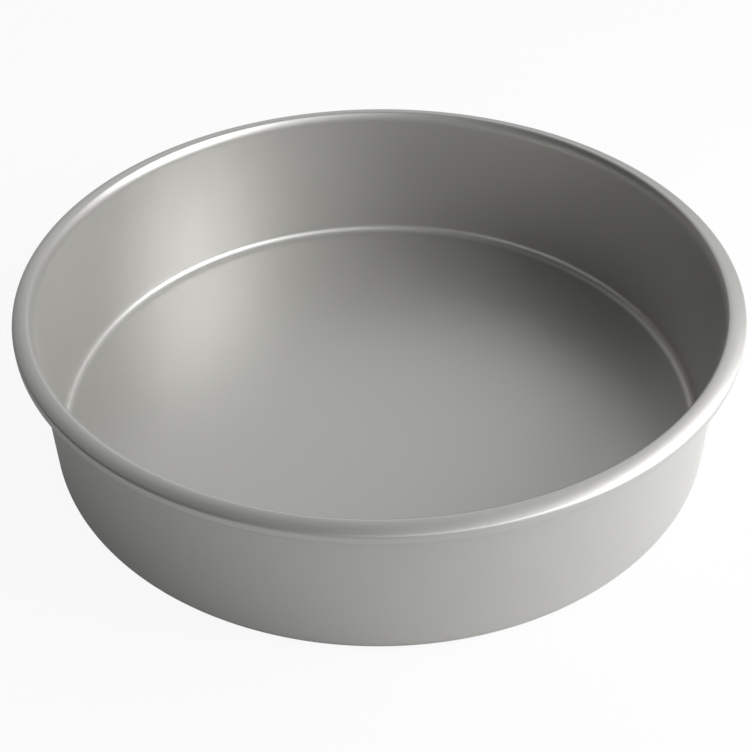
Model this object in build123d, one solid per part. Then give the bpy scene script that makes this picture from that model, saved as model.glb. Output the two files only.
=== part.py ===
from build123d import *
import math
import os

# Round cake tin of matt anodised aluminium, drawn from one disc of sheet: floor, corner, wall and
# rolled edge are the same sheet throughout. The wall flares a little at the mouth and folds over a
# tight shoulder into a gently rounded crown. The crown turns down into a short upright side, and the
# sheet then turns in under a ring of steel wire and ends against the wall. The wire keeps the mouth
# round, and the cut edge is hidden. The tin stands on the XY plane with its axis on Z. Lengths are in
# millimetres and angles in degrees. A section is drawn in the XZ plane, as radius and height, and
# turned about Z.

# Driving sizes of the drawn sheet
OVERALL_HEIGHT = 50.5
FLOOR_DIAMETER = 203.6  # inside, where floor and wall would cross without the corner radius
SHEET = 1.0
CORNER_RADIUS = 3.0  # inside, between floor and wall
WALL_DRAFT = 0.3  # how far the wall leans outwards

# Driving sizes of the rolled edge, where each radius is that of the sheet's back
FLARE_RADIUS = 5.0
FLARE_TURN = 32.0
SHOULDER_RADIUS = 0.3
SHOULDER_TURN = 65.0
CROWN_RADIUS = 8.5
CROWN_TURN = 22.0
EDGE_RADIUS = 0.2  # between the crown and the upright side
LIP_RADIUS = 0.2  # between the upright side and the underside
TUCK_GAP = 0.15  # between the sheet's cut edge and the back of the wall

# Driving sizes of the rim wire
WIRE_DIAMETER = 1.8
WIRE_CLEARANCE = 0.1  # to the back of the crown, of the upright side and of the underside
BUTT_GAP = 0.6  # between the two ends of the wire

# Directions
FULL_TURN = 360.0
QUARTER_TURN = FULL_TURN / 4
OUTWARDS = 0.0
INWARDS = FULL_TURN / 2
DOWNWARDS = -QUARTER_TURN


def polar(centre, radius, degrees):
    """The point at a radius and an angle from a centre, in the plane of the section."""
    angle = math.radians(degrees)
    return (centre[0] + radius * math.cos(angle), centre[1] + radius * math.sin(angle))


# The corner is tangent to the floor and to the leaning wall.
corner_turn = QUARTER_TURN - WALL_DRAFT
corner_tangent = CORNER_RADIUS * math.tan(math.radians(corner_turn / 2))
corner_centre = (FLOOR_DIAMETER / 2 - corner_tangent, SHEET + CORNER_RADIUS)

# The edge turns outwards from the wall in tangent bends. The highest point is on the shoulder, so
# the heights of the bends follow from the overall height.
wall_normal = INWARDS - WALL_DRAFT
shoulder_start = wall_normal - FLARE_TURN
crown_start = shoulder_start - SHOULDER_TURN
edge_start = crown_start - CROWN_TURN
flare_to_shoulder = FLARE_RADIUS - SHOULDER_RADIUS
shoulder_to_crown = SHOULDER_RADIUS - CROWN_RADIUS
crown_to_edge = CROWN_RADIUS - EDGE_RADIUS
shoulder_centre_height = OVERALL_HEIGHT - SHOULDER_RADIUS - SHEET
flare_centre_height = (
    shoulder_centre_height - flare_to_shoulder * math.sin(math.radians(shoulder_start))
)
flare_face_radius = FLARE_RADIUS + SHEET
flare_start_height = flare_centre_height + flare_face_radius * math.sin(math.radians(wall_normal))
flare_start_radius = (
    FLOOR_DIAMETER / 2 + (flare_start_height - SHEET) * math.tan(math.radians(WALL_DRAFT))
)
flare_centre = polar((flare_start_radius, flare_start_height), flare_face_radius, -WALL_DRAFT)
shoulder_centre = polar(flare_centre, flare_to_shoulder, shoulder_start)
crown_centre = polar(shoulder_centre, shoulder_to_crown, crown_start)
edge_centre = polar(crown_centre, crown_to_edge, edge_start)

# The wire lies in the corner between the crown and the upright side.
side_back = edge_centre[0] + EDGE_RADIUS
wire_room = WIRE_DIAMETER / 2 + WIRE_CLEARANCE
wire_circle = side_back - wire_room
wire_to_crown = math.sqrt((CROWN_RADIUS - wire_room) ** 2 - (wire_circle - crown_centre[0]) ** 2)
wire_centre = (wire_circle, crown_centre[1] + wire_to_crown)

# The underside passes below the wire and stops short of the back of the wall or the flare.
underside_back = wire_centre[1] - wire_room
lip_centre = (side_back - LIP_RADIUS, underside_back + LIP_RADIUS)
rise_on_flare = max(0, underside_back - flare_centre[1])
cut_edge = flare_centre[0] - math.sqrt(FLARE_RADIUS**2 - rise_on_flare**2) + TUCK_GAP


def bend(centre, back_radius, start, turn):
    """The sheet's face and its back along one bend, each as an arc in the order of the outline."""
    face = CenterArc(centre, back_radius + SHEET, start, -turn)
    back = CenterArc(centre, back_radius, start - turn, turn)
    return face, back


def drawn_shell():
    """The drawn sheet: both faces of its section, joined at the axis and across the cut edge. It is
    turned from the back of the tin, as the wire in its edge is."""
    corner_start = (corner_centre[0], SHEET)
    under_corner = (corner_centre[0], 0)
    back_corner_radius = CORNER_RADIUS + SHEET
    underside_face = underside_back - SHEET
    flare_face, flare_back = bend(flare_centre, FLARE_RADIUS, wall_normal, FLARE_TURN)
    shoulder_face, shoulder_back = bend(shoulder_centre, SHOULDER_RADIUS, shoulder_start, SHOULDER_TURN)
    crown_face, crown_back = bend(crown_centre, CROWN_RADIUS, crown_start, CROWN_TURN)
    edge_face, edge_back = bend(edge_centre, EDGE_RADIUS, edge_start, edge_start - OUTWARDS)
    lip_face, lip_back = bend(lip_centre, LIP_RADIUS, OUTWARDS, QUARTER_TURN)
    outline = [
        Line((0, SHEET), corner_start),
        CenterArc(corner_centre, CORNER_RADIUS, DOWNWARDS, corner_turn),
        Line(
            polar(corner_centre, CORNER_RADIUS, -WALL_DRAFT),
            polar(flare_centre, flare_face_radius, wall_normal),
        ),
        flare_face,
        shoulder_face,
        crown_face,
        edge_face,
        Line((side_back + SHEET, edge_centre[1]), (side_back + SHEET, lip_centre[1])),
        lip_face,
        Line((lip_centre[0], underside_face), (cut_edge, underside_face)),
        Line((cut_edge, underside_face), (cut_edge, underside_back)),
        Line((cut_edge, underside_back), (lip_centre[0], underside_back)),
        lip_back,
        Line((side_back, lip_centre[1]), (side_back, edge_centre[1])),
        edge_back,
        crown_back,
        shoulder_back,
        flare_back,
        Line(
            polar(flare_centre, FLARE_RADIUS, wall_normal),
            polar(corner_centre, back_corner_radius, -WALL_DRAFT),
        ),
        CenterArc(corner_centre, back_corner_radius, -WALL_DRAFT, -corner_turn),
        Line(under_corner, (0, 0)),
        Line((0, 0), (0, SHEET)),
    ]
    sheet = revolve(Plane.XZ * make_face(outline), Axis.Z, FULL_TURN)
    return Rot(Z=QUARTER_TURN) * sheet


def rim_wire():
    """The ring of round wire inside the roll, with its two ends butted at the back of the tin."""
    section = Pos(wire_centre[0], wire_centre[1]) * Circle(WIRE_DIAMETER / 2)
    gap_turn = math.degrees(BUTT_GAP / wire_centre[0])
    ring = revolve(Plane.XZ * section, Axis.Z, FULL_TURN - gap_turn)
    return Rot(Z=QUARTER_TURN + gap_turn / 2) * ring


parts = {
    "drawn_shell": drawn_shell(),
    "rim_wire": rim_wire(),
}

os.makedirs("parts", exist_ok=True)
for name, shape in parts.items():
    export_step(shape, f"parts/{name}.step")
    size = shape.bounding_box().size
    print(f"{name}: {len(shape.solids())} solid, {size.X:.2f} x {size.Y:.2f} x {size.Z:.2f} mm")
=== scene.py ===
import math

import bpy
from mathutils import Matrix, Vector


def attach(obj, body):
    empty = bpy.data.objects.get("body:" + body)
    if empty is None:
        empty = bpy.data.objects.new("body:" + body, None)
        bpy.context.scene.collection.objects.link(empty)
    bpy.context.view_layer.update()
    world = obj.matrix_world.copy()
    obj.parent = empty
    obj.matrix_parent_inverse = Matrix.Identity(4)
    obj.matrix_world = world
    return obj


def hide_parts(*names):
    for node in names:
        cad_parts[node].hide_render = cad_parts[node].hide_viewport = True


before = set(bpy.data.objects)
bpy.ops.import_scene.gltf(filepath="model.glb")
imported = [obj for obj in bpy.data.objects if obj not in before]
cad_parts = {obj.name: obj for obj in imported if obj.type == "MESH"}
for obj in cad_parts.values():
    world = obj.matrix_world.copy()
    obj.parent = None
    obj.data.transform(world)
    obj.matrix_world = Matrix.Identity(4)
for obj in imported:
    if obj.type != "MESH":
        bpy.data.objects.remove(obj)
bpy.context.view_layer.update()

# Drawn shell. One disc of aluminium sheet, pressed through a die into floor, corner and wall in one
# piece. Its edge flares, folds over a tight shoulder into a rounded crown, turns down into a short
# upright side and is tucked in under the rim wire. It is etched matt and clear anodised.
overall_height = 0.0505
floor_diameter = 0.2036  # inside, where floor and wall would cross without the corner radius
sheet = 0.001
corner_radius = 0.003
wall_draft = math.radians(0.3)
flare_radius = 0.005
flare_turn = math.radians(32)
shoulder_radius = 0.0003
shoulder_turn = math.radians(65)
crown_radius = 0.0085
crown_turn = math.radians(22)
edge_radius = 0.0002
lip_radius = 0.0002
tuck_gap = 0.00015  # between the cut edge and the back of the wall
wire_room = 0.001  # from the middle of the wire to the back of the sheet round it

quarter_turn = math.pi / 2
corner_turn = quarter_turn - wall_draft
corner_tangent = corner_radius * math.tan(corner_turn / 2)
corner_centre = Vector((floor_diameter / 2 - corner_tangent, sheet + corner_radius))

# The highest point is on the shoulder, so the heights of the bends follow from the overall height.
wall_normal = math.pi - wall_draft
shoulder_start = wall_normal - flare_turn
crown_start = shoulder_start - shoulder_turn
edge_start = crown_start - crown_turn
flare_to_shoulder = flare_radius - shoulder_radius
flare_face_radius = flare_radius + sheet
shoulder_centre_height = overall_height - shoulder_radius - sheet
flare_centre_height = shoulder_centre_height - flare_to_shoulder * math.sin(shoulder_start)
flare_start_height = flare_centre_height + flare_face_radius * math.sin(wall_normal)
flare_start_radius = floor_diameter / 2 + (flare_start_height - sheet) * math.tan(wall_draft)
flare_start = Vector((flare_start_radius, flare_start_height))


def polar(centre, radius, angle):
    """The point at a radius and an angle from a centre, in the plane of the section."""
    return centre + radius * Vector((math.cos(angle), math.sin(angle)))


flare_centre = polar(flare_start, flare_face_radius, -wall_draft)
shoulder_centre = polar(flare_centre, flare_to_shoulder, shoulder_start)
crown_centre = polar(shoulder_centre, shoulder_radius - crown_radius, crown_start)
edge_centre = polar(crown_centre, crown_radius - edge_radius, edge_start)
side_back = edge_centre.x + edge_radius
side_face = side_back + sheet
wire_circle = side_back - wire_room
wire_to_crown = math.sqrt((crown_radius - wire_room) ** 2 - (wire_circle - crown_centre.x) ** 2)
underside_back = crown_centre.y + wire_to_crown - wire_room
underside_face = underside_back - sheet
lip_centre = Vector((side_back - lip_radius, underside_back + lip_radius))
rise_on_flare = max(0, underside_back - flare_centre.y)
cut_edge = flare_centre.x - math.sqrt(flare_radius**2 - rise_on_flare**2) + tuck_gap


def straight(start, end, steps):
    """Points of a straight stretch of the section, closer together near its two ends."""
    start, end = Vector(start), Vector(end)
    return [start.lerp(end, (1 - math.cos(math.pi * i / steps)) / 2) for i in range(steps)]


def bend(centre, radius, start, turn, steps):
    """Points of a bend of the section, from its start up to its last step but one."""
    return [polar(centre, radius, start + turn * i / steps) for i in range(steps)]


floor_steps = 26
corner_steps = 18
wall_steps = 18
flare_steps = 8
shoulder_steps = 14
crown_steps = 8
edge_steps = 12
side_steps = 6
lip_steps = 16
underside_steps = 8
hidden_bend_steps = 6
turning_steps = 320

# The sheet's face, from the middle of the floor over the edge to the cut edge
section = straight((0, sheet), (corner_centre.x, sheet), floor_steps)
section += bend(corner_centre, corner_radius, -quarter_turn, corner_turn, corner_steps)
section += straight(
    polar(corner_centre, corner_radius, -wall_draft),
    polar(flare_centre, flare_face_radius, wall_normal),
    wall_steps,
)
section += bend(flare_centre, flare_face_radius, wall_normal, -flare_turn, flare_steps)
section += bend(
    shoulder_centre, shoulder_radius + sheet, shoulder_start, -shoulder_turn, shoulder_steps
)
section += bend(crown_centre, crown_radius + sheet, crown_start, -crown_turn, crown_steps)
section += bend(edge_centre, edge_radius + sheet, edge_start, -edge_start, edge_steps)
section += straight((side_face, edge_centre.y), (side_face, lip_centre.y), side_steps)
section += bend(lip_centre, lip_radius + sheet, 0, -quarter_turn, lip_steps)
section += straight((lip_centre.x, underside_face), (cut_edge, underside_face), underside_steps)
cut_edge_start = len(section)
section += [Vector((cut_edge, underside_face))]

# Its back, from the cut edge round the wire and down the outside to the middle of the underside
section += straight((cut_edge, underside_back), (lip_centre.x, underside_back), underside_steps)
section += bend(lip_centre, lip_radius, -quarter_turn, quarter_turn, hidden_bend_steps)
section += straight((side_back, lip_centre.y), (side_back, edge_centre.y), side_steps)
section += bend(edge_centre, edge_radius, 0, edge_start, hidden_bend_steps)
section += bend(crown_centre, crown_radius, edge_start, crown_turn, hidden_bend_steps)
section += bend(shoulder_centre, shoulder_radius, crown_start, shoulder_turn, hidden_bend_steps)
section += bend(flare_centre, flare_radius, shoulder_start, flare_turn, flare_steps)
section += straight(
    polar(flare_centre, flare_radius, wall_normal),
    polar(corner_centre, corner_radius + sheet, -wall_draft),
    wall_steps,
)
section += bend(corner_centre, corner_radius + sheet, -wall_draft, -corner_turn, corner_steps)
section += straight((corner_centre.x, 0), (0, 0), floor_steps)
section += [Vector((0, 0))]

# The section's two ends lie on the axis and are one vertex each. Every other point is a ring.
vertices = []
faces = []
for number, point in enumerate(section):
    if number in (0, len(section) - 1):
        vertices.append((0, 0, point.y))
        continue
    for step in range(turning_steps):
        angle = 2 * math.pi * step / turning_steps
        vertices.append((point.x * math.cos(angle), point.x * math.sin(angle), point.y))

rings = len(section) - 2
last = len(vertices) - 1
for step in range(turning_steps):
    following = (step + 1) % turning_steps
    faces.append((0, 1 + step, 1 + following))
    faces.append((last, last - turning_steps + following, last - turning_steps + step))
    for ring in range(rings - 1):
        here = 1 + ring * turning_steps
        beyond = here + turning_steps
        faces.append((here + step, beyond + step, beyond + following, here + following))

shell_mesh = bpy.data.meshes.new("tin_shell")
shell_mesh.from_pydata(vertices, [], faces)
shell_mesh.polygons.foreach_set("use_smooth", [True] * len(shell_mesh.polygons))
tin_shell = bpy.data.objects.new("tin_shell", shell_mesh)
bpy.context.scene.collection.objects.link(tin_shell)

# The two corners of the cut edge stay sharp, as trimming leaves them.
cut_corners = set()
for ring in (cut_edge_start - 1, cut_edge_start):
    cut_corners.update(range(1 + ring * turning_steps, 1 + (ring + 1) * turning_steps))
for edge in shell_mesh.edges:
    one, other = edge.vertices
    same_ring = (one - 1) // turning_steps == (other - 1) // turning_steps
    edge.use_edge_sharp = one in cut_corners and other in cut_corners and same_ring

sheet_colour = (0.494, 0.490, 0.472)
darkest_tone = 0.985
lightest_tone = 1.015
sheet_roughness = 0.40
cloud_roughness = 0.02
draw_mark_roughness = 0.015
bare_metal_share = 0.75
cloud_size = 0.045
cloud_detail = 3.0
draw_mark_width = 0.0016
draw_mark_stretch = 0.03
draw_mark_detail = 2.0
etch_grain_size = 0.0004
etch_grain_detail = 1.0
etch_grain_depth = 0.000004
etch_grain_strength = 0.5
noise_low = 0.3  # nearly all of a noise's values lie between these two
noise_high = 0.7

anodised = bpy.data.materials.new("matt_anodised_aluminium")
anodised.use_nodes = True
nodes = anodised.node_tree.nodes
links = anodised.node_tree.links
metal = nodes["Principled BSDF"]
metal.inputs["Metallic"].default_value = bare_metal_share
place = nodes.new("ShaderNodeTexCoord")


def even_noise(size, detail, stretch=(1, 1, 1)):
    """Noise whose features are about one size, over the sheet's own place."""
    scaled = nodes.new("ShaderNodeMapping")
    scaled.inputs["Scale"].default_value = stretch
    links.new(place.outputs["Object"], scaled.inputs["Vector"])
    noise = nodes.new("ShaderNodeTexNoise")
    noise.inputs["Scale"].default_value = 1 / size
    noise.inputs["Detail"].default_value = detail
    links.new(scaled.outputs["Vector"], noise.inputs["Vector"])
    return noise.outputs["Fac"]


def spread(value, low, high):
    """Noise turned into a range of values for a socket."""
    map_range = nodes.new("ShaderNodeMapRange")
    map_range.inputs["From Min"].default_value = noise_low
    map_range.inputs["From Max"].default_value = noise_high
    map_range.inputs["To Min"].default_value = low
    map_range.inputs["To Max"].default_value = high
    links.new(value, map_range.inputs["Value"])
    return map_range.outputs["Result"]


def worked_out(operation, one, other=None):
    """A Math node's result, for a linked value and a second value that is linked or plain."""
    node = nodes.new("ShaderNodeMath")
    node.operation = operation
    links.new(one, node.inputs[0])
    if isinstance(other, float):
        node.inputs[1].default_value = other
    elif other is not None:
        links.new(other, node.inputs[1])
    return node.outputs[0]


clouds = even_noise(cloud_size, cloud_detail)
tone = nodes.new("ShaderNodeValToRGB")
darkest, lightest = tone.color_ramp.elements
darkest.position = noise_low
darkest.color = (*(darkest_tone * share for share in sheet_colour), 1)
lightest.position = noise_high
lightest.color = (*(lightest_tone * share for share in sheet_colour), 1)
links.new(clouds, tone.inputs["Fac"])
links.new(tone.outputs["Color"], metal.inputs["Base Color"])

draw_marks = even_noise(draw_mark_width, draw_mark_detail, (1, 1, draw_mark_stretch))
finish = worked_out(
    "ADD",
    spread(clouds, sheet_roughness - cloud_roughness, sheet_roughness + cloud_roughness),
    spread(draw_marks, -draw_mark_roughness, draw_mark_roughness),
)
links.new(finish, metal.inputs["Roughness"])

grain = nodes.new("ShaderNodeBump")
grain.inputs["Strength"].default_value = etch_grain_strength
grain.inputs["Distance"].default_value = etch_grain_depth
links.new(even_noise(etch_grain_size, etch_grain_detail), grain.inputs["Height"])
links.new(grain.outputs["Normal"], metal.inputs["Normal"])

shell_mesh.materials.append(anodised)
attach(tin_shell, "root")
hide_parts("drawn_shell")

# Rim wire. A ring of drawn, galvanised steel wire inside the rolled edge. It keeps the mouth round
# and is wholly hidden by the sheet, with its two ends butted at the back.
spangle_size = 0.0012
dark_zinc = (0.42, 0.43, 0.44, 1)
light_zinc = (0.60, 0.61, 0.62, 1)
smoothest_zinc = 0.34
roughest_zinc = 0.46

rim_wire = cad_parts["rim_wire"]
galvanised = bpy.data.materials.new("galvanised_wire")
galvanised.use_nodes = True
nodes = galvanised.node_tree.nodes
links = galvanised.node_tree.links
zinc = nodes["Principled BSDF"]
zinc.inputs["Metallic"].default_value = 1.0
place = nodes.new("ShaderNodeTexCoord")
spangle = nodes.new("ShaderNodeTexVoronoi")
spangle.inputs["Scale"].default_value = 1 / spangle_size
links.new(place.outputs["Object"], spangle.inputs["Vector"])
zinc_tone = nodes.new("ShaderNodeValToRGB")
zinc_tone.color_ramp.elements[0].color = dark_zinc
zinc_tone.color_ramp.elements[1].color = light_zinc
links.new(spangle.outputs["Color"], zinc_tone.inputs["Fac"])
links.new(zinc_tone.outputs["Color"], zinc.inputs["Base Color"])
links.new(
    spread(spangle.outputs["Color"], smoothest_zinc, roughest_zinc), zinc.inputs["Roughness"]
)
for material_slot in rim_wire.material_slots:
    material_slot.material = galvanised

# Table. A wide white surface that the tin stands on. To the eye it is near white with a faint soft
# shadow, and the metal mirrors it as the lamps light it, bright at the right and dim at the left.
table_reach = 12.0
table_drop = 0.0001
table_colour = 0.69
white_to_the_eye = 0.92
white_in_the_metal = 0.02
plain_white = (1, 1, 1, 1)

corners = [
    (table_reach * x, table_reach * y, -table_drop) for x, y in ((-1, -1), (1, -1), (1, 1), (-1, 1))
]
table_mesh = bpy.data.meshes.new("white_table")
table_mesh.from_pydata(corners, [], [(0, 1, 2, 3)])
white_table = bpy.data.objects.new("white_table", table_mesh)
bpy.context.scene.collection.objects.link(white_table)

white = bpy.data.materials.new("white_table")
white.use_nodes = True
nodes = white.node_tree.nodes
links = white.node_tree.links
nodes.remove(nodes["Principled BSDF"])
lit = nodes.new("ShaderNodeBsdfDiffuse")
lit.inputs["Color"].default_value = (table_colour, table_colour, table_colour, 1)
glow = nodes.new("ShaderNodeEmission")
glow.inputs["Color"].default_value = plain_white
glow.inputs["Strength"].default_value = 1.0
ray = nodes.new("ShaderNodeLightPath")
seen = worked_out(
    "MAXIMUM",
    worked_out("MULTIPLY", ray.outputs["Is Camera Ray"], white_to_the_eye),
    worked_out("MULTIPLY", ray.outputs["Is Transmission Ray"], white_to_the_eye),
)
mirrored = worked_out("MULTIPLY", ray.outputs["Is Glossy Ray"], white_in_the_metal)
look = nodes.new("ShaderNodeMixShader")
links.new(worked_out("MAXIMUM", seen, mirrored), look.inputs["Fac"])
links.new(lit.outputs[0], look.inputs[1])
links.new(glow.outputs[0], look.inputs[2])
links.new(look.outputs[0], nodes["Material Output"].inputs["Surface"])
table_mesh.materials.append(white)

# Studio light. A large soft box and a small one in front of it stand close at the right. The rest
# is the room's own glow, strongest at the front right, and weaker behind and low down at the front
# left. The left stays dark, which shapes the metal, but the room is white to the eye.
glow_tightness = 9.0
room_glows = (  # azimuth, elevation and brightness of each
    (-54, 40, 1.7),
    (30, 32, 0.75),
    (78, 32, 0.39),
    (120, 32, 0.66),
    (105, 6, 0.5),
    (75, 60, 0.27),
    (165, 60, 0.05),
    (245, 8, 0.4),
)

world = bpy.data.worlds.new("studio_room")
bpy.context.scene.world = world
world.use_nodes = True
nodes = world.node_tree.nodes
links = world.node_tree.links
looking = nodes.new("ShaderNodeTexCoord")


def towards_place(azimuth, elevation):
    """A direction from the tin. Azimuth is from the tin's right, anticlockwise from above."""
    azimuth, elevation = math.radians(azimuth), math.radians(elevation)
    level = math.cos(elevation)
    return Vector((math.cos(azimuth) * level, math.sin(azimuth) * level, math.sin(elevation)))


def room_glow(azimuth, elevation, brightness):
    """A broad glow in the room that fades evenly from its middle."""
    closeness = nodes.new("ShaderNodeVectorMath")
    closeness.operation = "DOT_PRODUCT"
    closeness.inputs[1].default_value = towards_place(azimuth, elevation)
    links.new(looking.outputs["Generated"], closeness.inputs[0])
    away = worked_out("SUBTRACT", closeness.outputs["Value"], 1.0)
    fading = worked_out("EXPONENT", worked_out("MULTIPLY", away, glow_tightness))
    return worked_out("MULTIPLY", fading, brightness)


room = room_glow(*room_glows[0])
for azimuth, elevation, brightness in room_glows[1:]:
    room = worked_out("ADD", room, room_glow(azimuth, elevation, brightness))
ray = nodes.new("ShaderNodeLightPath")
background = nodes["Background"]
background.inputs["Color"].default_value = plain_white
links.new(
    worked_out("MAXIMUM", room, ray.outputs["Is Camera Ray"]), background.inputs["Strength"]
)


def soft_box(name, azimuth, elevation, distance, width, height, brightness):
    """A soft box that faces the tin, with power enough for the brightness of its face."""
    lamp = bpy.data.lights.new(name, "AREA")
    lamp.shape = "RECTANGLE"
    lamp.size = width
    lamp.size_y = height
    lamp.energy = brightness * math.pi * width * height
    box = bpy.data.objects.new(name, lamp)
    bpy.context.scene.collection.objects.link(box)
    away = towards_place(azimuth, elevation)
    box.location = away * distance
    box.rotation_euler = away.to_track_quat("Z", "Y").to_euler()
    box.visible_camera = False


soft_box(
    "right_box", azimuth=-12, elevation=30, distance=0.75, width=0.62, height=0.62, brightness=3.45
)
soft_box(
    "near_box", azimuth=-10, elevation=24, distance=0.45, width=0.3, height=0.3, brightness=4.6
)

# Camera. It stands close in front of the tin and looks down across it, so the far wall shows more
# of its inside than the near one.
view_distance = 0.382666
aim_below_the_edge = 0.0026
view_elevation = math.radians(34.627)
view_yaw = math.radians(0.155)
view_pitch = math.radians(-4.378)
view_roll = math.radians(0.429)
film_width = 36.0
focal_length_in_pixels = 1262.5
picture_width_in_pixels = 752
nearest_seen = 0.01

camera_data = bpy.data.cameras.new("camera")
camera_data.sensor_width = film_width
camera_data.lens = film_width * focal_length_in_pixels / picture_width_in_pixels
camera_data.clip_start = nearest_seen
camera = bpy.data.objects.new("camera", camera_data)
bpy.context.scene.collection.objects.link(camera)
bpy.context.scene.camera = camera

towards = Vector((0, math.cos(view_elevation), -math.sin(view_elevation)))
stand = Vector((0, 0, overall_height - aim_below_the_edge)) - view_distance * towards
rightwards = Vector((1, 0, 0))
upwards = rightwards.cross(towards)
turn = Matrix.Rotation(view_yaw, 3, upwards)
towards, rightwards = turn @ towards, turn @ rightwards
turn = Matrix.Rotation(view_pitch, 3, rightwards)
towards, upwards = turn @ towards, turn @ upwards
turn = Matrix.Rotation(view_roll, 3, towards)
rightwards, upwards = turn @ rightwards, turn @ upwards
facing = Matrix((rightwards, upwards, -towards)).transposed()
camera.matrix_world = Matrix.Translation(stand) @ facing.to_4x4()

bpy.context.scene.view_settings.view_transform = "Standard"
